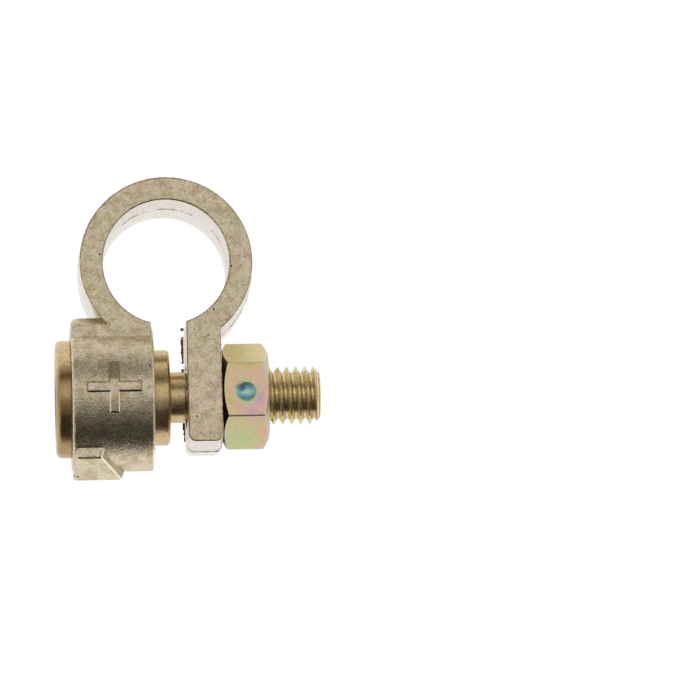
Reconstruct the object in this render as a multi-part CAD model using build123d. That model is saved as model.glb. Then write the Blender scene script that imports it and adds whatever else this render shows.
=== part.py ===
from build123d import *

import os
from math import ceil, cos, radians, tan

# Battery terminal clamp for the positive post: a cast brass split ring whose two ends are drawn
# together by a turned brass cable stud and a hexagon nut.
#
# Millimetres. The origin is the centre of the ring's bore at mid-depth. +Z is along the battery
# post, towards the marked side. +X is along the cable stud, towards its thread. +Y runs from the
# stud to the ring.

# Post ring
bore_radius = 8.75
ring_wall = 3.25
body_depth = 13.3
ring_draft = 1.2  # degrees, from the parting plane at mid-depth to each face
face_edge_round = 0.25

# Slot where the ring is split, between the shoulder and the ear
slot_width = 4.9
slot_middle = 0.15  # how far the slot's middle lies towards the thread

# Cable stud's axis, below the bore's centre
stud_drop = 18.0

# Barrel that holds the stud
barrel_wall = 3.45
barrel_length = 11.4
barrel_past_slot = 0.3  # how far the barrel's end stands into the slot
barrel_end_round = 0.5

# Shoulder block between the barrel and the ring
shoulder_rise = 10.4  # from the stud's axis to the block's top
shoulder_chamfer = 1.1
shoulder_corner_round = 0.9

# Ear that the nut bears on
ear_thickness = 4.8
ear_reach = 7.7  # from the stud's axis to the ear's foot at mid-depth
ear_draft = 3.9  # degrees, on the foot of the ear
ear_corner_round = 1.0
ear_hole_clearance = 0.4  # round the thread

# Foot under the barrel, drafted both ways from the parting plane
foot_height = 6.4  # from the parting plane to its face
foot_past_barrel = 1.25  # at the parting plane, below the barrel
foot_width = 6.6  # along its lowest edge
foot_margin = 0.15  # from the barrel's left end
foot_draft = 18.0  # degrees
foot_left_draft = 3.0  # degrees
foot_right_draft = 29.5  # degrees
foot_slant = 20.0  # degrees, of its right side seen along the post
foot_edge_round = 0.4

# Plus mark raised on the barrel
plus_width = 7.6
plus_height = 7.1
plus_bar = 1.5
plus_middle = 0.1  # how far the mark lies from the barrel's middle, towards the slot
plus_rise = 0.36
plus_edge_round = 0.3

# Cable stud
stud_body_radius = 6.65
stud_bore_clearance = 0.05
flange_overhang = 1.5
flange_thickness = 2.1
flange_round = 0.8  # on its outer edge
flange_seat_round = 0.12  # on the edge against the barrel
body_past_barrel = 2.2
body_chamfer = 0.3
shank_radius = 3.55
shank_root_round = 0.3
socket_wall = 1.3
socket_depth = 12.5
socket_chamfer = 0.4
socket_tip = 118.0  # degrees, of the drill's point
stud_length = 36.7
flange_seat_gap = 0.02

# Thread, M8 coarse
thread_major = 4.0  # radius
thread_pitch = 1.25
thread_angle = 60.0  # degrees
thread_depth = 0.767
thread_plain = 1.8  # shank left plain beyond the stud's body
thread_run_out = 0.3  # where the shank overlaps the thread's first ridge
thread_end_chamfer = 0.85
thread_crest_place = 0.86  # from the thread's start to its first crest on the side of the ring
flank_clearance = 0.06  # between the nut's flanks and the stud's
crest_clearance = 0.08
spare_turns = 2  # of the thread's surface beyond each end of its blank

# Hexagon nut
nut_flats = 13.0
nut_height = 6.5
nut_seat_gap = 0.05
nut_minor_clearance = 0.14  # over the root of the stud's thread
nut_corner_chamfer = 30.0  # degrees
nut_face_share = 0.94  # of the width across flats, the round face that the chamfer leaves
nut_countersink = 0.2  # how far the countersink's mouth is wider than the thread, in radius
nut_turn = 0.0  # degrees, of the hexagon about the stud
nut_edge_round = 0.35  # along the six corners
dimple_radius = 1.35
dimple_depth = 0.3
dimple_offset = 0.4  # from the middle of the flat, away from the ring

# Places that follow from the sizes above
half_depth = body_depth / 2
ring_radius = bore_radius + ring_wall
slot_left = slot_middle - slot_width / 2
slot_right = slot_middle + slot_width / 2
barrel_right = slot_left + barrel_past_slot
barrel_left = barrel_right - barrel_length
barrel_bore = stud_body_radius + stud_bore_clearance
barrel_radius = barrel_bore + barrel_wall
stud_y = -stud_drop
flange_radius = stud_body_radius + flange_overhang
socket_radius = stud_body_radius - socket_wall
ear_right = slot_right + ear_thickness
flange_seat = barrel_left - flange_seat_gap
stud_left = flange_seat - flange_thickness
stud_right = stud_left + stud_length
body_right = barrel_right + body_past_barrel
thread_start = body_right + thread_plain
nut_left = ear_right + nut_seat_gap
nut_right = nut_left + nut_height

# The stud's own frame: z along its axis from the ring's plane of symmetry, x towards the ring
stud_frame = Plane(origin=(0, stud_y, 0), x_dir=(0, 1, 0), z_dir=(1, 0, 0))


def on_stud(shape, along=0.0):
    """A shape modelled about +Z, laid along the stud's axis."""
    return stud_frame.location * Location((0, 0, along)) * shape


def turned(points):
    """A solid turned about +Z from (radius, height) points, with its seam away from the thread's start."""
    profile = Plane.YZ * Polyline(*points, close=True)
    return revolve(make_face(profile), Axis.Z)


def circles(solid, radius):
    """The solid's circular edges of one radius."""
    return solid.edges().filter_by(GeomType.CIRCLE).filter_by(lambda edge: abs(edge.radius - radius) < 1e-3)


def bar(radius, start, end):
    """A round bar or cutter along the stud's axis between two places."""
    return on_stud(Cylinder(radius, end - start, align=(Align.CENTER, Align.CENTER, Align.MIN)), start)


def along_stud(profile_points, start, end):
    """A prism along the stud, from (y, z) points of its section."""
    section = Plane.YZ.offset(start) * Polyline(*profile_points, close=True)
    return extrude(make_face(section), end - start, dir=(1, 0, 0))


# Post ring: drafted both ways from the parting plane, with the bore left straight
def post_ring():
    swell = half_depth * tan(radians(ring_draft))
    return turned(
        [
            (0, -half_depth),
            (ring_radius, -half_depth),
            (ring_radius + swell, 0),
            (ring_radius, half_depth),
            (0, half_depth),
        ]
    )


# Shoulder block: its upper edges are chamfered, and its outer corner is rounded
def shoulder():
    top = stud_y + shoulder_rise
    low = half_depth - shoulder_chamfer
    block = along_stud(
        [
            (stud_y, -half_depth),
            (top - shoulder_chamfer, -half_depth),
            (top, -low),
            (top, low),
            (top - shoulder_chamfer, half_depth),
            (stud_y, half_depth),
        ],
        barrel_left,
        slot_left,
    )
    corner = [
        edge
        for edge in block.edges()
        if edge.center().X < barrel_left + 0.01
        and edge.center().Y > top - shoulder_chamfer + 0.01
    ]
    return fillet(corner, shoulder_corner_round)


# Ear: a plate whose foot is drafted both ways, with its two foot corners rounded
def ear():
    low = stud_y - ear_reach
    lift = half_depth * tan(radians(ear_draft))
    middle_of_wall = -(bore_radius + ring_wall / 2)
    plate = along_stud(
        [
            (middle_of_wall, -half_depth),
            (low + lift, -half_depth),
            (low, 0),
            (low + lift, half_depth),
            (middle_of_wall, half_depth),
        ],
        slot_right,
        ear_right,
    )
    corners = [
        edge
        for edge in plate.edges()
        if edge.center().Y < low + lift and abs(edge.center().X - (slot_right + ear_right) / 2) > 0.1
    ]
    return fillet(corners, ear_corner_round)


# Barrel: turned form with rounded ends
def barrel():
    blank = Cylinder(barrel_radius, barrel_length, align=(Align.CENTER, Align.CENTER, Align.MIN))
    ends = blank.edges().filter_by(GeomType.CIRCLE)
    return on_stud(fillet(ends, barrel_end_round), barrel_left)


# Foot: a block whose front, left and right sides draw in towards its face
def foot_outline(height):
    """The foot's section at a height above the parting plane, reaching into the barrel's wall."""
    inner = stud_y - barrel_bore - foot_edge_round
    lowest = stud_y - barrel_radius - foot_past_barrel
    low = lowest + height * tan(radians(foot_draft))
    left = barrel_left + foot_margin + height * tan(radians(foot_left_draft))
    right = barrel_left + foot_margin + foot_width - height * tan(radians(foot_right_draft))
    slope = tan(radians(foot_slant))
    corners = [
        (left, inner),
        (left, low),
        (right + (low - lowest) * slope, low),
        (right + (inner - lowest) * slope, inner),
    ]
    return Plane.XY.offset(height) * make_face(Polyline(*corners, close=True))


def foot():
    upper = loft([foot_outline(0), foot_outline(foot_height)], ruled=True)
    outer = [edge for edge in upper.edges() if edge.center().Y < stud_y - barrel_bore - 2 * foot_edge_round]
    upper = fillet([edge for edge in outer if edge.center().Z > foot_edge_round], foot_edge_round)
    return upper + mirror(upper, Plane.XY)


# Plus mark: both bars stand to one height above the barrel's round surface, with rounded edges
def plus_mark():
    middle_x = (barrel_left + barrel_right) / 2 + plus_middle
    outline = Rectangle(plus_width, plus_bar) + Rectangle(plus_bar, plus_height)
    face = Plane((middle_x, stud_y, barrel_bore)) * outline
    top = barrel_radius + plus_rise
    mark = extrude(face, top) & bar(top, barrel_left, barrel_right)
    crown = mark.faces().filter_by(GeomType.CYLINDER).sort_by(Axis.Z)[-1]
    return fillet(crown.edges(), plus_edge_round)


def clamp_body():
    slot = Pos(slot_middle, -ring_radius, 0) * Box(slot_width, 2 * ring_radius, 2 * body_depth)
    frame = post_ring() - slot + shoulder() + ear()
    frame -= Cylinder(bore_radius, 2 * body_depth)
    faces = frame.faces().filter_by(Plane.XY)
    frame = fillet(faces.edges(), face_edge_round)
    casting = frame + barrel() + foot() + plus_mark()
    casting -= Cylinder(bore_radius, 2 * body_depth)
    casting -= bar(barrel_bore, barrel_left - 1, barrel_right + 1)
    return casting - bar(thread_major + ear_hole_clearance, slot_right - 1, ear_right + 1)


# Thread: a crest, two flanks and a root, each ruled between two helices about +Z. This surface parts
# a blank into the threaded piece inside it and the one outside it. The stud's is the basic profile, and
# the nut's is grown from it, so the two are in phase wherever they stand.
def ridge_width(radius):
    """Width of the stud's ridge at a radius, by the basic profile of the thread."""
    slope = tan(radians(thread_angle / 2))
    pitch_radius = thread_major - 3 / 16 * thread_pitch / slope
    return thread_pitch / 2 - 2 * (radius - pitch_radius) * slope


def thread_surface(crest_radius, root_radius, clearance, start, end):
    growth = clearance / cos(radians(thread_angle / 2))
    crest = ridge_width(crest_radius) / 2 + growth
    root = ridge_width(root_radius) / 2 + growth
    first_crest = thread_start + thread_crest_place
    low = first_crest - thread_pitch * (ceil((first_crest - start) / thread_pitch) + spare_turns)
    height = end - low + spare_turns * thread_pitch

    def line(radius, along):
        return (Pos(0, 0, low + along) * Helix(thread_pitch, height, radius)).edge()

    lines = [
        line(crest_radius, -crest),
        line(crest_radius, crest),
        line(root_radius, root),
        line(root_radius, thread_pitch - root),
        line(crest_radius, thread_pitch - crest),
    ]
    return Shell([Face.make_surface_from_curves(near, far) for near, far in zip(lines, lines[1:])])


def threaded(blank, surface):
    """The larger of the two pieces that a thread's surface makes of a blank about +Z."""
    return blank.split(surface, keep=Keep.ALL).sort_by(SortBy.VOLUME)[-1]


# Cable stud: turned from bar, drilled for the cable, with its thread rolled on
def cable_stud():
    tip = socket_radius / tan(radians(socket_tip / 2))
    shank_end = thread_start + thread_run_out
    turned_bar = turned(
        [
            (0, stud_left),
            (flange_radius, stud_left),
            (flange_radius, flange_seat),
            (stud_body_radius, flange_seat),
            (stud_body_radius, body_right - body_chamfer),
            (stud_body_radius - body_chamfer, body_right),
            (shank_radius, body_right),
            (shank_radius, shank_end),
            (0, shank_end),
        ]
    )
    outer_edge, seat_edge = circles(turned_bar, flange_radius).sort_by(Axis.Z)
    turned_bar = fillet(seat_edge, flange_seat_round)
    turned_bar = fillet(circles(turned_bar, flange_radius).sort_by(Axis.Z)[0], flange_round)
    root_circle = circles(turned_bar, shank_radius).sort_by(Axis.Z)[0]
    turned_bar = fillet(root_circle, shank_root_round)
    socket = turned(
        [
            (0, stud_left),
            (socket_radius + socket_chamfer, stud_left),
            (socket_radius, stud_left + socket_chamfer),
            (socket_radius, stud_left + socket_depth),
            (0, stud_left + socket_depth + tip),
        ]
    )
    beyond = thread_major + thread_depth
    root = thread_major - thread_depth
    ends = turned(
        [
            (0, thread_start),
            (root, thread_start),
            (beyond, thread_start + beyond - root),
            (beyond, stud_right - thread_end_chamfer - thread_depth),
            (thread_major - thread_end_chamfer, stud_right),
            (0, stud_right),
        ]
    )
    surface = thread_surface(thread_major, root, 0, thread_start, stud_right)
    return on_stud(turned_bar - socket) + on_stud(threaded(ends, surface))


# Nut: a hexagon bar chamfered at both faces, threaded, and dimpled on one flat by a punch
def hex_nut():
    corner = nut_flats / cos(radians(30)) / 2
    face_radius = nut_flats / 2 * nut_face_share
    cut = (corner - face_radius) * tan(radians(nut_corner_chamfer))
    minor = thread_major - thread_depth + nut_minor_clearance
    mouth = thread_major + nut_countersink
    outline = RegularPolygon(nut_flats / 2, 6, major_radius=False, rotation=nut_turn)
    rounded = fillet(outline.vertices(), nut_edge_round)
    prism = Pos(0, 0, nut_left) * extrude(rounded, nut_height)
    envelope = turned(
        [
            (0, nut_left),
            (face_radius, nut_left),
            (corner, nut_left + cut),
            (corner, nut_right - cut),
            (face_radius, nut_right),
            (0, nut_right),
        ]
    )
    surface = thread_surface(thread_major + crest_clearance, minor, flank_clearance, nut_left, nut_right)
    nut = threaded(prism & envelope, surface)
    nut -= turned([(0, nut_left), (mouth, nut_left), (0, nut_left + mouth)])
    nut -= turned([(0, nut_right), (mouth, nut_right), (0, nut_right - mouth)])
    ball = (dimple_radius**2 + dimple_depth**2) / (2 * dimple_depth)
    dimple = Pos(
        (nut_left + nut_right) / 2,
        stud_y - dimple_offset,
        nut_flats / 2 + ball - dimple_depth,
    ) * Sphere(ball)
    return on_stud(nut) - dimple


os.makedirs("parts", exist_ok=True)
export_step(clamp_body(), "parts/clamp_body.step")
export_step(cable_stud(), "parts/cable_stud.step")
export_step(hex_nut(), "parts/hex_nut.step")
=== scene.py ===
from math import cos, pi, radians, sin

import bmesh
import bpy
from mathutils import Matrix, Vector, noise


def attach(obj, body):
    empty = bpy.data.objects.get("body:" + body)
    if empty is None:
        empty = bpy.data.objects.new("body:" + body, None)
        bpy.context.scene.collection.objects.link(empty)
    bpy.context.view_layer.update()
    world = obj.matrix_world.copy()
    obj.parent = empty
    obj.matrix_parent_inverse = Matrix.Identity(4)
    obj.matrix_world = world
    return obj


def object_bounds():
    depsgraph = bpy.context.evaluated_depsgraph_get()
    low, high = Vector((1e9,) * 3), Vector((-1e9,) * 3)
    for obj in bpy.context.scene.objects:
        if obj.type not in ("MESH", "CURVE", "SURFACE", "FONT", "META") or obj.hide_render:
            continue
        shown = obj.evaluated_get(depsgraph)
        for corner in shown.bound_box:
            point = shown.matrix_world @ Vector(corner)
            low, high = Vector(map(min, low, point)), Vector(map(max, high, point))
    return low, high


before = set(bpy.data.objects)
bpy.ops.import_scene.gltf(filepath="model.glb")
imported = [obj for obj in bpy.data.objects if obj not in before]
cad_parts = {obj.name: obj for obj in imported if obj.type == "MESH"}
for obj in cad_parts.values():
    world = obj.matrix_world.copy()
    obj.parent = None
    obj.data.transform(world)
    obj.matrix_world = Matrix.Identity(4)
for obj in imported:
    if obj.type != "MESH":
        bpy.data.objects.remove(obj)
cad_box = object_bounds()
scene = bpy.context.scene
scene.view_settings.view_transform = "Standard"

# Camera
# Nearly overhead, tipped a little towards the foot and the flange, from 0.8 m. It looks between the
# pair that was photographed together, so this clamp stands in the left half of the picture.
camera_distance = 0.8
camera_aim = Vector((0.02428, -0.01025, 0.0))
camera_tip = radians(10.11)
camera_lean = radians(3.91)
camera_roll = radians(-1.66)
picture_width = 0.68 / 7.167  # metres across the picture at the aim

looking = Vector(
    (sin(camera_lean), sin(camera_tip) * cos(camera_lean), -cos(camera_tip) * cos(camera_lean))
)
level_right = looking.cross(Vector((0, 1, 0))).normalized()
level_up = level_right.cross(looking)
right = level_right * cos(camera_roll) + level_up * sin(camera_roll)
up = level_up * cos(camera_roll) - level_right * sin(camera_roll)
camera = bpy.data.objects.new("camera", bpy.data.cameras.new("camera"))
camera.data.lens = camera.data.sensor_width * camera_distance / picture_width
turn = Matrix((right, up, -looking)).transposed().to_4x4()
camera.matrix_world = Matrix.Translation(camera_aim - looking * camera_distance) @ turn
scene.collection.objects.link(camera)
scene.camera = camera


# Floor and studio
# A white table under a wide, soft overhead light. The room in front of the table is dark, and the
# brass shows it as the dark band along every round.
def linear(code):
    """The linear colour of an sRGB hex code."""
    parts = [int(code[i : i + 2], 16) / 255 for i in (1, 3, 5)]
    return [c / 12.92 if c <= 0.04045 else ((c + 0.055) / 1.055) ** 2.4 for c in parts] + [1.0]


def add(tree, kind, *given, stops=(), smooth="LINEAR", **named):
    """Adds a node and gives its first output.

    Values and outputs of other nodes go to its inputs, in their order or by a name with a capital. Names
    without a capital are settings. Stops are a colour ramp's, each a place and a hex code or a grey.
    """
    node = tree.nodes.new(kind)
    for name, value in named.items():
        if name[0].islower():
            setattr(node, name, value)
    inputs = list(zip([socket for socket in node.inputs if socket.enabled], given))
    inputs += [(node.inputs[name.replace("_", " ")], named[name]) for name in named if name[0].isupper()]
    for socket, value in inputs:
        if isinstance(value, bpy.types.NodeSocket):
            tree.links.new(value, socket)
        else:
            socket.default_value = value
    if stops:
        node.color_ramp.interpolation = smooth
        while len(node.color_ramp.elements) < len(stops):
            node.color_ramp.elements.new(0.5)
        for element, (place, colour) in zip(node.color_ramp.elements, stops):
            element.position = place
            element.color = linear(colour) if isinstance(colour, str) else (colour, colour, colour, 1.0)
    return next((output for output in node.outputs if output.enabled), node)


world = bpy.data.worlds.new("studio")
world.use_nodes = True
scene.world = world
tree = world.node_tree
tree.nodes.clear()
direction = add(tree, "ShaderNodeTexCoord").node.outputs["Generated"]
parts = add(tree, "ShaderNodeSeparateXYZ", Vector=direction).node.outputs
towards_foot = add(tree, "ShaderNodeMath", parts["Y"], -1.0, operation="MULTIPLY")
tilt = add(tree, "ShaderNodeMath", towards_foot, parts["Z"], operation="ARCTAN2")
share = add(tree, "ShaderNodeMapRange", tilt, -pi / 2, pi / 2)
# From the wall behind the table, over the lamp, to the dark room in front
room = add(
    tree, "ShaderNodeValToRGB", share,
    stops=[
        (0.0, 0.95), (0.1, 0.85), (0.2, 0.45), (0.3, 0.15), (0.39, 0.8), (0.48, 0.88), (0.57, 0.43),
        (0.65, 0.28), (0.73, 0.07), (1.0, 0.05),
    ],
    smooth="EASE",
)
camera_ray = add(tree, "ShaderNodeLightPath").node.outputs["Is Camera Ray"]
# The walls left and right of the table are pale
pale_wall = (0.8, 0.8, 0.8, 1.0)
aside = add(tree, "ShaderNodeMath", parts["X"], operation="ABSOLUTE")
room = add(
    tree, "ShaderNodeMix", add(tree, "ShaderNodeMapRange", aside, 0.5, 0.9), room, pale_wall,
    data_type="RGBA",
)
colour = add(tree, "ShaderNodeMix", camera_ray, room, (1.0, 1.0, 1.0, 1.0), data_type="RGBA")
background = add(tree, "ShaderNodeBackground", Color=colour, Strength=1.0)
add(tree, "ShaderNodeOutputWorld", Surface=background)

floor_drop = 0.0001  # the table lies this far under the barrel
floor_size = 3.0
glow_share = 0.86  # of the white that is seen, and the rest is lit by the room
seen_white = 1.13  # the glow that the camera sees
front_start, front_end = -0.08, -0.125  # where the glow that metal shows fades, in front of the clamp
near_glow, far_glow = 1.06, 0.12
mesh = bpy.data.meshes.new("floor")
level = cad_box[0].z - floor_drop
half = floor_size / 2
mesh.from_pydata(
    [(-half, -half, level), (half, -half, level), (half, half, level), (-half, half, level)],
    [],
    [(0, 1, 2, 3)],
)
floor = bpy.data.objects.new("floor", mesh)
scene.collection.objects.link(floor)
paper = bpy.data.materials.new("white_paper")
paper.use_nodes = True
tree = paper.node_tree
tree.nodes.clear()
path = add(tree, "ShaderNodeLightPath").node.outputs
camera_ray = path["Is Camera Ray"]
glossy_ray = add(
    tree, "ShaderNodeMath", path["Is Glossy Ray"], path["Is Transmission Ray"], operation="MAXIMUM"
)
shown = add(tree, "ShaderNodeMath", camera_ray, glossy_ray, operation="MAXIMUM")
share = add(tree, "ShaderNodeMath", shown, glow_share, operation="MULTIPLY")
matt = add(tree, "ShaderNodeBsdfDiffuse", Color=linear("#f7f7f7"))
spot = add(
    tree, "ShaderNodeSeparateXYZ", Vector=add(tree, "ShaderNodeTexCoord").node.outputs["Object"]
).node.outputs
front_edge = add(tree, "ShaderNodeMapRange", spot["Y"], front_end, front_start, far_glow, near_glow)
strength = add(tree, "ShaderNodeMix", camera_ray, front_edge, seen_white, data_type="FLOAT")
white = add(tree, "ShaderNodeEmission", Color=(1.0, 1.0, 1.0, 1.0), Strength=strength)
mixed = add(tree, "ShaderNodeMixShader", share, matt, white)
add(tree, "ShaderNodeOutputMaterial", Surface=mixed)
mesh.materials.append(paper)


# Cast body
# One brass casting: the split ring, the ear, the shoulder, the barrel and the foot. The mould leaves
# a grained skin with light crystals, small pits, and yellower and pinker patches.
stud_axis = (0.0, -0.018, 0.0)  # metres, as are the sizes and places in every material
patch_size, blotch_size, skin_size, crystal_size, pit_spacing = 0.0034, 0.0013, 0.0003, 0.00016, 0.0013
largest_pit = 0.13  # radius, as a share of the spacing


def metal(name):
    """A new metal material with its tree, its shader and the piece's own coordinates."""
    material = bpy.data.materials.new(name)
    material.use_nodes = True
    tree = material.node_tree
    shader = tree.nodes["Principled BSDF"]
    shader.inputs["Metallic"].default_value = 1.0
    place = add(tree, "ShaderNodeTexCoord").node.outputs["Object"]
    return material, tree, shader, place


def stud_radius(tree, place):
    """How far a place lies from the stud's axis."""
    from_axis = add(tree, "ShaderNodeVectorMath", place, stud_axis, operation="SUBTRACT")
    flattened = add(tree, "ShaderNodeVectorMath", from_axis, (0.0, 1.0, 1.0), operation="MULTIPLY")
    return add(tree, "ShaderNodeVectorMath", flattened, operation="LENGTH")


def wear(material, node_name):
    """Gives a material to every slot of a CAD node."""
    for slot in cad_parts[node_name].material_slots:
        slot.material = material


def cast_skin(name, tones, darkest, pit_share):
    """Cast brass: patches of three tones, a grained skin with lighter crystals, blotches and pits."""
    material, tree, shader, place = metal(name)
    patches = add(
        tree, "ShaderNodeTexNoise", Vector=place, Scale=1 / patch_size, Detail=3.0, Roughness=0.55,
        Distortion=0.6,
    )
    blotches = add(tree, "ShaderNodeTexNoise", Vector=place, Scale=1 / blotch_size, Detail=2.0, Roughness=0.55)
    skin = add(tree, "ShaderNodeTexNoise", Vector=place, Scale=1 / skin_size, Detail=3.0, Roughness=0.55)
    crystals = add(tree, "ShaderNodeTexNoise", Vector=place, Scale=1 / crystal_size, Detail=1.0, Roughness=0.55)
    tone = add(tree, "ShaderNodeValToRGB", patches, stops=list(zip((0.3, 0.5, 0.7), tones)))
    shade = add(
        tree, "ShaderNodeValToRGB", add(tree, "ShaderNodeMapRange", skin, 0.3, 0.7),
        stops=[(0.0, darkest), (0.5, 0.88), (1.0, 1.0)],
    )
    colour = add(tree, "ShaderNodeMix", 1.0, tone, shade, data_type="RGBA", blend_type="MULTIPLY")
    colour = add(
        tree, "ShaderNodeMix", 1.0, colour,
        add(tree, "ShaderNodeValToRGB", blotches, stops=[(0.35, "#e3ddd2"), (0.6, "#ffffff")]),
        data_type="RGBA", blend_type="MULTIPLY",
    )
    colour = add(
        tree, "ShaderNodeMix", add(tree, "ShaderNodeMapRange", crystals, 0.6, 0.78, 0.0, 0.6), colour,
        linear("#fff6e4"), data_type="RGBA",
    )
    cells = add(tree, "ShaderNodeTexVoronoi", Vector=place, Scale=1 / pit_spacing, Randomness=1.0)
    chosen = add(tree, "ShaderNodeSeparateColor", Color=cells.node.outputs["Color"]).node.outputs[0]
    pit_edge = add(tree, "ShaderNodeMapRange", chosen, 1.0 - pit_share, 1.0, 0.0, largest_pit)
    pits = add(tree, "ShaderNodeMath", cells, pit_edge, operation="LESS_THAN")
    colour = add(tree, "ShaderNodeMix", pits, colour, linear("#6a5840"), data_type="RGBA")
    tree.links.new(colour, shader.inputs["Base Color"])
    tree.links.new(
        add(tree, "ShaderNodeMapRange", crystals, 0.3, 0.7, 0.18, 0.34), shader.inputs["Roughness"]
    )
    relief = add(tree, "ShaderNodeMath", skin, pits, operation="SUBTRACT")
    bump = add(tree, "ShaderNodeBump", Strength=0.4, Distance=0.0001, Height=relief)
    fine = add(tree, "ShaderNodeBump", Strength=0.5, Distance=0.00007, Height=crystals, Normal=bump)
    tree.links.new(fine, shader.inputs["Normal"])
    return material


cast_brass = cast_skin("sand_cast_brass", ("#e9dfb8", "#ecdbbb", "#efd9c1"), 0.60, 0.55)
# What only this casting has: a broken brown line along the edges of its two faces and a painted highlight under
# it, painted reflection of the white table on its upright sides, a darker upper arm and painted light and shade
# on the plus mark, painted shade in the corner by the shoulder, and a painted highlight and painted shade on the
# foot's right side
barrel_end, ring_foot = -0.0019, -0.007  # X and Y, beyond which the ring and the ear are
face_edge = (0.00641, 0.00648)  # heights between which the rounded edges of the faces start
wall_ends = (-0.006, 0.006)
mark_foot = (0.01017, 0.0102)  # distances from the stud's axis between which the plus mark starts
mark_side, mark_front = -0.003, 0.009  # X and Z, which keep the colours painted on it off other raised forms
crevice_centre, crevice_reach = (-0.0106, -0.0074, 0.0055), (0.002, 0.0004)
foot_side_out, foot_top = (0.83, -0.3, 0.47), -0.0262
tree = cast_brass.node_tree
shader = tree.nodes["Principled BSDF"]
colour = shader.inputs["Base Color"].links[0].from_socket
own = add(tree, "ShaderNodeTexCoord").node.outputs
at = add(tree, "ShaderNodeSeparateXYZ", Vector=own["Object"]).node.outputs
facing = add(tree, "ShaderNodeSeparateXYZ", Vector=own["Normal"]).node.outputs
height = add(tree, "ShaderNodeMath", at["Z"], operation="ABSOLUTE")
level = add(tree, "ShaderNodeMath", facing["Z"], operation="ABSOLUTE")
clear_of_barrel = add(
    tree, "ShaderNodeMath", add(tree, "ShaderNodeMath", at["X"], barrel_end, operation="GREATER_THAN"),
    add(tree, "ShaderNodeMath", at["Y"], ring_foot, operation="GREATER_THAN"), operation="MAXIMUM",
)
# Painted reflection of the white table: the upright sides, most of all those turned to the front, are mixed
# towards white, more at the bottom than at the top
wall_reflection = add(
    tree, "ShaderNodeMath", add(tree, "ShaderNodeMapRange", level, 0.35, 0.15), clear_of_barrel,
    operation="MULTIPLY",
)
wall_reflection = add(
    tree, "ShaderNodeMath", wall_reflection, add(tree, "ShaderNodeMapRange", facing["Y"], 0.3, -0.1, 0.35, 1.0),
    operation="MULTIPLY",
)
wall_reflection_tone = add(
    tree, "ShaderNodeMix", add(tree, "ShaderNodeMapRange", at["Z"], *wall_ends), linear("#f5f4ec"),
    linear("#f9ede8"), data_type="RGBA",
)
colour = add(
    tree, "ShaderNodeMix",
    add(
        tree, "ShaderNodeMath", wall_reflection, add(tree, "ShaderNodeMapRange", at["Z"], *wall_ends, 0.85, 0.6),
        operation="MULTIPLY",
    ),
    colour, wall_reflection_tone, data_type="RGBA",
)
near_face = add(
    tree, "ShaderNodeMath", add(tree, "ShaderNodeMapRange", height, *face_edge), clear_of_barrel,
    operation="MULTIPLY",
)
# Painted highlight: a pale line along the steep lower part of the faces' rounded edges
edge_highlight = add(
    tree, "ShaderNodeMath", add(tree, "ShaderNodeMapRange", level, 0.12, 0.25),
    add(tree, "ShaderNodeMapRange", level, 0.62, 0.5), operation="MULTIPLY",
)
colour = add(
    tree, "ShaderNodeMix", add(tree, "ShaderNodeMath", edge_highlight, near_face, operation="MULTIPLY"), colour,
    linear("#fbf3e6"), data_type="RGBA",
)
# A broken brown line along where the faces start to round over
brown_edge_line = add(
    tree, "ShaderNodeMath", add(tree, "ShaderNodeMapRange", level, 0.985, 0.93),
    add(tree, "ShaderNodeMapRange", level, 0.5, 0.75), operation="MULTIPLY",
)
broken = add(
    tree, "ShaderNodeMapRange",
    add(tree, "ShaderNodeTexNoise", Vector=own["Object"], Scale=1 / 0.0006, Detail=3.0, Roughness=0.55),
    0.38, 0.62, 0.15, 0.85,
)
brown_edge_line = add(
    tree, "ShaderNodeMath", add(tree, "ShaderNodeMath", brown_edge_line, near_face, operation="MULTIPLY"), broken,
    operation="MULTIPLY",
)
colour = add(tree, "ShaderNodeMix", brown_edge_line, colour, linear("#6f5a3c"), data_type="RGBA")
radius = stud_radius(tree, own["Object"])
raised = add(
    tree, "ShaderNodeMath", add(tree, "ShaderNodeMapRange", radius, *mark_foot),
    add(tree, "ShaderNodeMath", at["X"], mark_side, operation="LESS_THAN"), operation="MULTIPLY",
)
raised = add(
    tree, "ShaderNodeMath", raised,
    add(tree, "ShaderNodeMath", at["Z"], mark_front, operation="GREATER_THAN"), operation="MULTIPLY",
)
# The plus mark's upper arm is darker brown, and painted shade darkens its sides that face the back
upper_arm = add(
    tree, "ShaderNodeMath", raised, add(tree, "ShaderNodeMapRange", at["Y"], -0.0172, -0.0168, 0.0, 0.6),
    operation="MULTIPLY",
)
upper_side_shade = add(
    tree, "ShaderNodeMath", raised, add(tree, "ShaderNodeMapRange", facing["Y"], 0.36, 0.55, 0.0, 0.95),
    operation="MULTIPLY",
)
colour = add(
    tree, "ShaderNodeMix", add(tree, "ShaderNodeMath", upper_arm, upper_side_shade, operation="MAXIMUM"), colour,
    linear("#78633f"), data_type="RGBA",
)
# Painted highlight on the lower part of its sides that face left and right, and painted shade on their upper
# part
aside = add(tree, "ShaderNodeMath", facing["X"], operation="ABSOLUTE")
lit_and_shaded_sides = add(
    tree, "ShaderNodeMath", raised, add(tree, "ShaderNodeMapRange", aside, 0.15, 0.4), operation="MULTIPLY"
)
lit_and_shaded_side_tone = add(
    tree, "ShaderNodeMix", add(tree, "ShaderNodeMapRange", at["Y"], -0.0189, -0.0186), linear("#fff2d8"),
    linear("#8a744c"), data_type="RGBA",
)
colour = add(
    tree, "ShaderNodeMix", add(tree, "ShaderNodeMath", lit_and_shaded_sides, 0.8, operation="MULTIPLY"), colour,
    lit_and_shaded_side_tone, data_type="RGBA",
)
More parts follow.
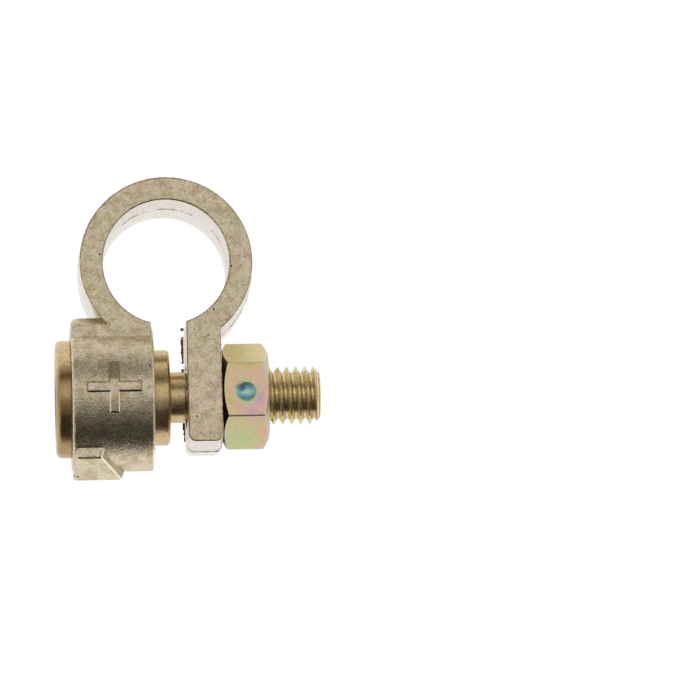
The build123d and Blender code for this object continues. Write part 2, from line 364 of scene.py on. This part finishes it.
# Painted shade on its sides and ends that face the front
lower_end_shade = add(
    tree, "ShaderNodeMath", raised, add(tree, "ShaderNodeMapRange", facing["Y"], -0.45, -0.65, 0.0, 0.9),
    operation="MULTIPLY",
)
colour = add(tree, "ShaderNodeMix", lower_end_shade, colour, linear("#4a3d2a"), data_type="RGBA")
# Painted shade in the concave corner where the ring's outer wall meets the shoulder
crevice_shade = add(tree, "ShaderNodeVectorMath", own["Object"], crevice_centre, operation="DISTANCE")
colour = add(
    tree, "ShaderNodeMix", add(tree, "ShaderNodeMapRange", crevice_shade, *crevice_reach, 0.0, 0.8), colour,
    linear("#77724f"), data_type="RGBA",
)
# Painted highlight along the foot's front right edge
foot_side = add(tree, "ShaderNodeVectorMath", own["Normal"], foot_side_out, operation="DOT_PRODUCT")
foot_edge_highlight = add(
    tree, "ShaderNodeMath", add(tree, "ShaderNodeMapRange", foot_side, 0.66, 0.78),
    add(tree, "ShaderNodeMapRange", foot_side, 0.985, 0.96), operation="MULTIPLY",
)
foot_edge_highlight = add(
    tree, "ShaderNodeMath", foot_edge_highlight,
    add(tree, "ShaderNodeMath", at["Y"], foot_top, operation="LESS_THAN"), operation="MULTIPLY",
)
colour = add(tree, "ShaderNodeMix", foot_edge_highlight, colour, linear("#fff6ea"), data_type="RGBA")
# Painted shade on the foot's sloping right side
colour = add(
    tree, "ShaderNodeMix", add(tree, "ShaderNodeMapRange", foot_side, 0.985, 0.997, 0.0, 0.6), colour,
    linear("#8f8868"), data_type="RGBA",
)
tree.links.new(colour, shader.inputs["Base Color"])
wear(cast_brass, "clamp_body")

# Ear web
# The metal between the top of the ear and the ring's outer wall: a small wedge flush with both, and
# its two outer edges are rounded like theirs. Its upper side lies inside the ring's wall.
web_left, web_right, web_foot, web_half_depth = 5.75, 7.405, -10.7, 6.655  # millimetres
inside_ring = 11.6  # radius of its upper side
web_steps = 12  # along its upper side
web_round = 0.25
outline = [(web_left, web_foot), (web_right, web_foot)]
for i in range(web_steps + 1):
    x = web_right - i * (web_right - web_left) / web_steps
    outline.append((x, -((inside_ring**2 - x**2) ** 0.5)))
wedge = bmesh.new()
lower = wedge.faces.new([wedge.verts.new(Vector((x, y, -web_half_depth)) / 1000) for x, y in outline])
grown = bmesh.ops.extrude_face_region(wedge, geom=[lower])["geom"]
for vertex in grown:
    if isinstance(vertex, bmesh.types.BMVert):
        vertex.co.z = web_half_depth / 1000
outer = []
for edge in wedge.edges:
    one, other = (vertex.co for vertex in edge.verts)
    on_the_right = all(abs(end.x * 1000 - web_right) < 1e-3 for end in (one, other))
    if on_the_right and abs(one.z - other.z) < 1e-6:
        outer.append(edge)
bmesh.ops.bevel(wedge, geom=outer, offset=web_round / 1000, segments=6, profile=0.5, affect="EDGES")
bmesh.ops.recalc_face_normals(wedge, faces=wedge.faces)
mesh = bpy.data.meshes.new("ear_web")
wedge.to_mesh(mesh)
wedge.free()
mesh.materials.append(cast_brass)
ear_web = bpy.data.objects.new("ear_web", mesh)
scene.collection.objects.link(ear_web)
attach(ear_web, "clamp_body")

# Flash and parting line
# Brass that ran between the mould's halves: a low ridge round the ring at mid-depth, a ragged hair
# line inside the bore, and a dark, torn edge that was left along the back of the ear.
fin_tree = bpy.data.node_groups.new("ragged_fin", "GeometryNodeTree")
for name, kind in {
    "Path": "Geometry",
    "Step": "Float",
    "Root": "Float",
    "Reach": "Float",
    "Thickness": "Float",
    "Tooth": "Float",
    "Bare share": "Float",
    "Seed": "Float",
    "Finish": "Material",
}.items():
    fin_tree.interface.new_socket(name, in_out="INPUT", socket_type="NodeSocket" + kind)
fin_tree.interface.new_socket("Fin", in_out="OUTPUT", socket_type="NodeSocketGeometry")
given = add(fin_tree, "NodeGroupInput").node.outputs
line = add(fin_tree, "GeometryNodeMeshToCurve", Mesh=given["Path"])
line = add(fin_tree, "GeometryNodeResampleCurve", mode="LENGTH", Curve=line, Length=given["Step"])
here = add(fin_tree, "GeometryNodeInputPosition")
stored = {"data_type": "FLOAT_VECTOR", "domain": "POINT"}
line = add(fin_tree, "GeometryNodeStoreNamedAttribute", Geometry=line, Name="spot", Value=here, **stored)
section = add(fin_tree, "GeometryNodeCurvePrimitiveQuadrilateral", Width=1.0, Height=1.0)
section = add(
    fin_tree, "GeometryNodeStoreNamedAttribute", Geometry=section, Name="corner", Value=here, **stored
)
fin = add(fin_tree, "GeometryNodeCurveToMesh", Curve=line, Profile_Curve=section, Fill_Caps=True)
spot = add(fin_tree, "GeometryNodeInputNamedAttribute", Name="spot", data_type="FLOAT_VECTOR")
corner = add(fin_tree, "GeometryNodeInputNamedAttribute", Name="corner", data_type="FLOAT_VECTOR")
outwards = add(fin_tree, "GeometryNodeInputNamedAttribute", Name="outwards", data_type="FLOAT_VECTOR")
corner = add(fin_tree, "ShaderNodeSeparateXYZ", Vector=corner).node.outputs
teeth = add(
    fin_tree, "ShaderNodeTexNoise", noise_dimensions="4D", Vector=spot, W=given["Seed"],
    Scale=add(fin_tree, "ShaderNodeMath", 1.0, given["Tooth"], operation="DIVIDE"), Detail=3.0,
)
ragged = add(fin_tree, "ShaderNodeMapRange", Value=teeth, From_Min=given["Bare share"], From_Max=0.7)
reach = add(fin_tree, "ShaderNodeMath", ragged, given["Reach"], given["Root"], operation="MULTIPLY_ADD")
out_share = add(fin_tree, "ShaderNodeMath", corner["X"], 0.5, operation="ADD")
across = add(
    fin_tree, "ShaderNodeCombineXYZ",
    Z=add(fin_tree, "ShaderNodeMath", corner["Y"], given["Thickness"], operation="MULTIPLY"),
)
along = add(
    fin_tree, "ShaderNodeVectorMath", outwards, operation="SCALE",
    Scale=add(fin_tree, "ShaderNodeMath", out_share, reach, operation="MULTIPLY"),
)
place = add(fin_tree, "ShaderNodeVectorMath", spot, along, operation="ADD")
place = add(fin_tree, "ShaderNodeVectorMath", place, across, operation="ADD")
fin = add(fin_tree, "GeometryNodeSetPosition", Geometry=fin, Position=place)
fin = add(fin_tree, "GeometryNodeRealizeInstances", Geometry=fin)
fin = add(fin_tree, "GeometryNodeSetMaterial", Geometry=fin, Material=given["Finish"])
add(fin_tree, "NodeGroupOutput", Fin=fin)


def ragged_fin(name, runs, **sizes):
    """A fin along runs of (point, way out) pairs in millimetres, with the tree's inputs in metres."""
    mesh = bpy.data.meshes.new(name + "_path")
    points, ways, edges = [], [], []
    for run in runs:
        edges += [(len(points) + i, len(points) + i + 1) for i in range(len(run) - 1)]
        points += [Vector(point) / 1000 for point, way in run]
        ways += [way for point, way in run]
    mesh.from_pydata(points, edges, [])
    mesh.attributes.new("outwards", "FLOAT_VECTOR", "POINT").data.foreach_set(
        "vector", [c for way in ways for c in way]
    )
    path = bpy.data.objects.new(name + "_path", mesh)
    scene.collection.objects.link(path)
    modifier = path.modifiers.new("fin", "NODES")
    modifier.node_group = fin_tree
    for socket in fin_tree.interface.items_tree:
        wanted = socket.name.lower().replace(" ", "_")
        if wanted in sizes:
            modifier[socket.identifier] = sizes[wanted]
    grown = bpy.data.meshes.new_from_object(path.evaluated_get(bpy.context.evaluated_depsgraph_get()))
    bpy.data.objects.remove(path)
    shell = bmesh.new()
    shell.from_mesh(grown)
    bmesh.ops.remove_doubles(shell, verts=shell.verts, dist=1e-7)
    bmesh.ops.recalc_face_normals(shell, faces=shell.faces)
    shell.to_mesh(grown)
    shell.free()
    piece = bpy.data.objects.new(name, grown)
    scene.collection.objects.link(piece)
    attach(piece, "clamp_body")


def arc(radius, start, end, way, centre=(0.0, 0.0), steps=90):
    """A run round a centre between two angles in degrees; way is 1 outwards and -1 inwards."""
    run = []
    for i in range(steps + 1):
        angle = radians(start + (end - start) * i / steps)
        out = Vector((cos(angle), sin(angle), 0.0))
        run.append((Vector((*centre, 0.0)) + out * radius, out * way))
    return run


torn_brass = cast_skin("torn_brass", ("#8d7856", "#7a6647", "#9a8569"), 0.35, 0.6)
film_brass = cast_skin("flash_film_brass", ("#d3c7b2", "#cdbfae", "#d8c9ba"), 0.6, 0.3)
bore_radius, ring_swell_radius = 8.75, 12.139  # millimetres
line_depth, flash_depth = 0.08, 0.1  # how deep the roots are set in the wall
ragged_fin(
    "bore_flash",
    [arc(bore_radius + flash_depth, *ends, -1) for ends in ((4, 40), (62, 132))],
    step=0.00012, root=0.0001, reach=0.00007, thickness=0.0001, tooth=0.0012,
    bare_share=0.42, seed=3.0, finish=film_brass,
)
ear_left, ear_right, ear_foot, ear_corner = 2.6, 7.4, -25.7, 1.0
corner_steps = 8
foot_run = arc(ear_corner, 180, 270, 1, (ear_left + ear_corner, ear_foot + ear_corner), corner_steps)
foot_run += arc(ear_corner, 270, 360, 1, (ear_right - ear_corner, ear_foot + ear_corner), corner_steps)
foot_run = [(point - Vector(way) * line_depth, way) for point, way in foot_run]
ragged_fin(
    "parting_line",
    [arc(ring_swell_radius - line_depth, -50, 40, 1), foot_run],
    step=0.00015, root=0.0001, reach=0.00009, thickness=0.00012, tooth=0.0016,
    bare_share=0.4, seed=8.0, finish=cast_brass,
)
back_of_ear, torn_depth = -6.45, 0.15
torn_runs = [
    [(Vector((ear_left + torn_depth, y, back_of_ear)), Vector((-1.0, 0.0, 0.0))) for y in run]
    for run in ((-7.05, -7.45), (-8.3, -10.2, -12.1), (-12.9, -13.5), (-14.3, -18.0, -23.2))
]
ragged_fin(
    "ear_flash",
    torn_runs,
    step=0.00012, root=0.00016, reach=0.00048, thickness=0.0002, tooth=0.0011,
    bare_share=0.3, seed=5.0, finish=torn_brass,
)

# Gate stub
# Where the sprue was broken off, at the foot's lower corner: a small, pale, crumbled lump.
gate_centre = Vector((-12.72, -28.86, 0.3)) / 1000
gate_size = Vector((0.55, 0.52, 0.8)) / 1000
lump_share, crumb_share = 0.30, 0.16  # how far the two sizes of lumps stand out, of its radius
lump = bmesh.new()
bmesh.ops.create_icosphere(lump, subdivisions=5, radius=1.0)
for vertex in lump.verts:
    coarse = noise.noise(vertex.co * 1.7 + Vector((4.0, 1.0, 7.0)))
    crumbs = noise.noise(vertex.co * 5.5 + Vector((2.0, 9.0, 3.0)))
    swell = 1.0 + lump_share * coarse + crumb_share * abs(crumbs)
    vertex.co = gate_centre + Vector(c * size * swell for c, size in zip(vertex.co, gate_size))
for face in lump.faces:
    face.smooth = True
mesh = bpy.data.meshes.new("gate_stub")
lump.to_mesh(mesh)
lump.free()
mesh.materials.append(cast_skin("broken_brass", ("#fff8ec", "#fdf3ea", "#fffaf2"), 0.62, 0.9))
gate_stub = bpy.data.objects.new("gate_stub", mesh)
scene.collection.objects.link(gate_stub)
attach(gate_stub, "clamp_body")

# Cable stud
# Turned from brass bar, so fine rings run round it, and the thread was rolled on afterwards.
thread_begins, flange_side = (0.013, 0.0134), (-0.0133, -0.0135)  # X
flange_top, end_chamfer = (-0.0148, -0.0162), (0.0202, 0.0204)  # Y and X
turning_marks, feed_pitch = 0.00012, 0.00036
turned_brass, tree, shader, place = metal("turned_brass")
parts = add(tree, "ShaderNodeSeparateXYZ", Vector=place).node.outputs
rings = add(tree, "ShaderNodeTexNoise", noise_dimensions="1D", W=parts["X"], Scale=1 / turning_marks, Detail=2.0)
stain = add(
    tree, "ShaderNodeTexNoise", Vector=place, Scale=1 / 0.003, Detail=3.0, Roughness=0.55, Distortion=0.5
)
tone = add(
    tree, "ShaderNodeValToRGB", stain, stops=[(0.35, "#cdb07c"), (0.55, "#dabf90"), (0.75, "#e4d0a6")]
)
threaded = add(tree, "ShaderNodeMapRange", parts["X"], *thread_begins)
tone = add(tree, "ShaderNodeMix", threaded, tone, linear("#e7d6ac"), data_type="RGBA")
fine = add(tree, "ShaderNodeTexNoise", Vector=place, Scale=1 / 0.00032, Detail=3.0, Roughness=0.55)
tone = add(
    tree, "ShaderNodeMix", 1.0, tone,
    add(
        tree, "ShaderNodeValToRGB", add(tree, "ShaderNodeMapRange", fine, 0.3, 0.7),
        stops=[(0.0, 0.66), (0.6, 1.0)],
    ),
    data_type="RGBA", blend_type="MULTIPLY",
)
# The flange is darker and browner except along its top, and the tool left rings on the thread's chamfered end
darker_flange = add(
    tree, "ShaderNodeMath", add(tree, "ShaderNodeMapRange", parts["X"], *flange_side),
    add(tree, "ShaderNodeMapRange", parts["Y"], *flange_top), operation="MULTIPLY",
)
darker_flange = add(
    tree, "ShaderNodeMath", darker_flange, add(tree, "ShaderNodeMapRange", stain, 0.3, 0.7, 0.95, 0.55),
    operation="MULTIPLY",
)
tone = add(tree, "ShaderNodeMix", darker_flange, tone, linear("#a5855a"), data_type="RGBA")
feed = add(
    tree, "ShaderNodeMath",
    add(tree, "ShaderNodeMath", parts["X"], 2 * pi / feed_pitch, operation="MULTIPLY"), operation="SINE",
)
tool_marks = add(
    tree, "ShaderNodeMath", add(tree, "ShaderNodeMapRange", parts["X"], *end_chamfer),
    add(tree, "ShaderNodeMapRange", feed, 0.0, 0.8), operation="MULTIPLY",
)
tone = add(
    tree, "ShaderNodeMix", add(tree, "ShaderNodeMath", tool_marks, 0.8, operation="MULTIPLY"), tone,
    linear("#8d6c3c"), data_type="RGBA",
)
tree.links.new(tone, shader.inputs["Base Color"])
tree.links.new(add(tree, "ShaderNodeMapRange", stain, 0.3, 0.7, 0.18, 0.3), shader.inputs["Roughness"])
bump = add(tree, "ShaderNodeBump", Strength=0.2, Distance=0.00004, Height=rings)
bump = add(tree, "ShaderNodeBump", Strength=0.3, Distance=0.00006, Height=fine, Normal=bump)
tree.links.new(bump, shader.inputs["Normal"])
wear(turned_brass, "cable_stud")

# Hexagon nut
# Steel, zinc plated and passivated. The film's colours run through yellow, salmon, lilac and green as
# its thickness changes, and it is thickest on the flat towards the foot.
zinc, tree, shader, place = metal("iridescent_zinc_plate")
dimple_centre, dimple_rim = (0.0107, -0.0184, 0.0064), (0.00995, -0.01775, 0.0064)
lilac_centre = (0.0128, -0.0204, 0.0064)
foot_corner, ring_corner = (-0.0215, -0.0222), (-0.0146, -0.0139)  # Y of the corners beside the top flat
thickest_on_top = 0.43
wobble_size = 0.00022
distance = add(tree, "ShaderNodeVectorMath", place, dimple_centre, operation="DISTANCE")
clouds = add(
    tree, "ShaderNodeMapRange",
    add(
        tree, "ShaderNodeTexNoise", Vector=place, Scale=1 / 0.003, Detail=3.0, Roughness=0.55,
        Distortion=0.8,
    ),
    0.3, 0.7, -0.5, 0.5,
)
mottle = add(
    tree, "ShaderNodeMapRange",
    add(tree, "ShaderNodeTexNoise", Vector=place, Scale=1 / 0.00045, Detail=2.0, Roughness=0.55),
    0.3, 0.7, -0.06, 0.06,
)
across = add(tree, "ShaderNodeSeparateXYZ", Vector=place).node.outputs
# Each flat has its own thickness of film and its own range: towards the ring, on top, towards the foot
to_foot = add(tree, "ShaderNodeMapRange", across["Y"], *foot_corner)
to_ring = add(tree, "ShaderNodeMapRange", across["Y"], *ring_corner)
middle = add(tree, "ShaderNodeMath", to_ring, -0.04, 0.26, operation="MULTIPLY_ADD")
span = add(tree, "ShaderNodeMapRange", to_ring, 0.0, 1.0, 0.26, 0.2)
lilac_corner = add(tree, "ShaderNodeVectorMath", place, lilac_centre, operation="DISTANCE")
middle = add(
    tree, "ShaderNodeMath", middle,
    add(tree, "ShaderNodeMapRange", lilac_corner, 0.0034, 0.0008, 0.0, 0.14), operation="ADD",
)
film = add(
    tree, "ShaderNodeMath", middle, add(tree, "ShaderNodeMath", clouds, span, operation="MULTIPLY"),
    operation="ADD",
)
across_flat = add(
    tree, "ShaderNodeMath", add(tree, "ShaderNodeMath", across["Y"], -stud_axis[1], operation="ADD"),
    operation="ABSOLUTE",
)
flat_edge = add(
    tree, "ShaderNodeMath", add(tree, "ShaderNodeMapRange", across_flat, 0.0024, 0.0036, 0.0, 0.14),
    add(tree, "ShaderNodeMapRange", across["X"], 0.0092, 0.0082, 0.0, 0.09), operation="MAXIMUM",
)
thin_film = add(
    tree, "ShaderNodeMath", add(tree, "ShaderNodeMath", film, flat_edge, operation="SUBTRACT"),
    thickest_on_top, operation="MINIMUM",
)
pink_side = add(tree, "ShaderNodeMapRange", across["X"], 0.0112, 0.0136, 0.86, 0.98)
thick_film = add(
    tree, "ShaderNodeMath", pink_side, add(tree, "ShaderNodeMath", clouds, 0.17, operation="MULTIPLY"),
    operation="ADD",
)
film_colours = [
    (0.00, "#cdc98c"),
    (0.09, "#d8c888"),
    (0.18, "#e6cc9c"),
    (0.27, "#eac4ac"),
    (0.36, "#e6b8bc"),
    (0.44, "#c9a9cc"),
    (0.52, "#8f96b8"),
    (0.62, "#7fb0b0"),
    (0.70, "#9cc6a6"),
    (0.80, "#c6d6a2"),
    (0.90, "#ddd09a"),
    (1.00, "#e8bfae"),
]
tone = add(
    tree, "ShaderNodeMix", to_foot,
    add(
        tree, "ShaderNodeValToRGB", add(tree, "ShaderNodeMath", thin_film, mottle, operation="ADD"),
        stops=film_colours,
    ),
    add(
        tree, "ShaderNodeValToRGB", add(tree, "ShaderNodeMath", thick_film, mottle, operation="ADD"),
        stops=film_colours,
    ),
    data_type="RGBA",
)
# The punch left a teal spot with a yellow-green ring, and its upper left rim is darkened with painted shade in
# dark blue
wobble = add(
    tree, "ShaderNodeMath",
    add(
        tree, "ShaderNodeMapRange",
        add(tree, "ShaderNodeTexNoise", Vector=place, Scale=1 / 0.0008, Detail=2.0, Roughness=0.55),
        0.3, 0.7, -1.0, 1.0,
    ),
    wobble_size, operation="MULTIPLY",
)
spot_place = add(tree, "ShaderNodeMath", distance, wobble, operation="ADD")
spot_tone = add(
    tree, "ShaderNodeValToRGB", add(tree, "ShaderNodeMath", spot_place, 500.0, operation="MULTIPLY"),
    stops=[
        (0.0, "#c8e6d6"), (0.25, "#a8d4c8"), (0.5, "#86bcbe"), (0.62, "#9cc2aa"), (0.72, "#cbd29c"),
        (1.0, "#dccf98"),
    ],
)
tone = add(
    tree, "ShaderNodeMix", add(tree, "ShaderNodeMapRange", spot_place, 0.0021, 0.0014), tone, spot_tone,
    data_type="RGBA",
)
# Painted shade, dark blue, on the dimple's upper left rim
upper_left = add(tree, "ShaderNodeVectorMath", place, dimple_rim, operation="DISTANCE")
rim_shade = add(
    tree, "ShaderNodeMapRange", add(tree, "ShaderNodeMath", upper_left, wobble, operation="ADD"),
    0.00078, 0.00035, 0.0, 0.75,
)
tone = add(tree, "ShaderNodeMix", rim_shade, tone, linear("#37638f"), data_type="RGBA")
# The plating is thin and pale along the nut's edges, and painted shade darkens the chamfer against the ear
facing = add(
    tree, "ShaderNodeSeparateXYZ", Vector=add(tree, "ShaderNodeTexCoord").node.outputs["Normal"]
).node.outputs
round_stud = add(tree, "ShaderNodeMath", facing["Y"], facing["Z"], operation="ARCTAN2")
sixfold = add(
    tree, "ShaderNodeMath", add(tree, "ShaderNodeMath", round_stud, 6.0, operation="MULTIPLY"),
    operation="COSINE",
)
corner = add(tree, "ShaderNodeMapRange", sixfold, 0.99, 0.6)
tilt = add(tree, "ShaderNodeMath", facing["X"], operation="ABSOLUTE")
ridge = add(
    tree, "ShaderNodeMath", add(tree, "ShaderNodeMapRange", tilt, 0.03, 0.12),
    add(tree, "ShaderNodeMapRange", tilt, 0.45, 0.3), operation="MULTIPLY",
)
# Where the chamfers at both ends cut the flats: a cone of 30 degrees that starts at the end faces' edge
end_circle, chamfer_slope, nut_ends = 0.00611, 1.732, (0.00745, 0.01395)
from_axis = stud_radius(tree, place)
for end in nut_ends:
    inwards = add(
        tree, "ShaderNodeMath", add(tree, "ShaderNodeMath", across["X"], end, operation="SUBTRACT"),
        operation="ABSOLUTE",
    )
    cone = add(tree, "ShaderNodeMath", inwards, chamfer_slope, end_circle, operation="MULTIPLY_ADD")
    under_cone = add(tree, "ShaderNodeMath", from_axis, cone, operation="SUBTRACT")
    ridge = add(
        tree, "ShaderNodeMath", ridge, add(tree, "ShaderNodeMapRange", under_cone, -0.0004, -0.0002),
        operation="MAXIMUM",
    )
ridge = add(
    tree, "ShaderNodeMath", ridge, add(tree, "ShaderNodeMapRange", tilt, 0.45, 0.3), operation="MULTIPLY"
)
worn = add(tree, "ShaderNodeMath", corner, ridge, operation="MAXIMUM")
worn = add(
    tree, "ShaderNodeMath", worn, add(tree, "ShaderNodeMapRange", distance, 0.0017, 0.002, 0.0, 0.6),
    operation="MULTIPLY",
)
tone = add(tree, "ShaderNodeMix", worn, tone, linear("#dedfcd"), data_type="RGBA")
# Painted shade on the chamfer that faces the ear
chamfer_shade = add(
    tree, "ShaderNodeMath", add(tree, "ShaderNodeMapRange", facing["X"], -0.3, -0.6), 0.8,
    operation="MULTIPLY",
)
tone = add(tree, "ShaderNodeMix", chamfer_shade, tone, linear("#5b4f34"), data_type="RGBA")
# Painted shade: the faces turned towards the thread are mixed with a duller olive grey
tone = add(
    tree, "ShaderNodeMix", add(tree, "ShaderNodeMapRange", facing["X"], 0.5, 0.8, 0.0, 0.6), tone,
    linear("#b3b290"), data_type="RGBA",
)
tree.links.new(tone, shader.inputs["Base Color"])
speck = add(tree, "ShaderNodeTexNoise", Vector=place, Scale=1 / 0.0002, Detail=2.0, Roughness=0.55)
tree.links.new(add(tree, "ShaderNodeMapRange", speck, 0.3, 0.7, 0.26, 0.4), shader.inputs["Roughness"])
bump = add(tree, "ShaderNodeBump", Strength=0.2, Distance=0.00005, Height=speck)
tree.links.new(bump, shader.inputs["Normal"])
wear(zinc, "hex_nut")
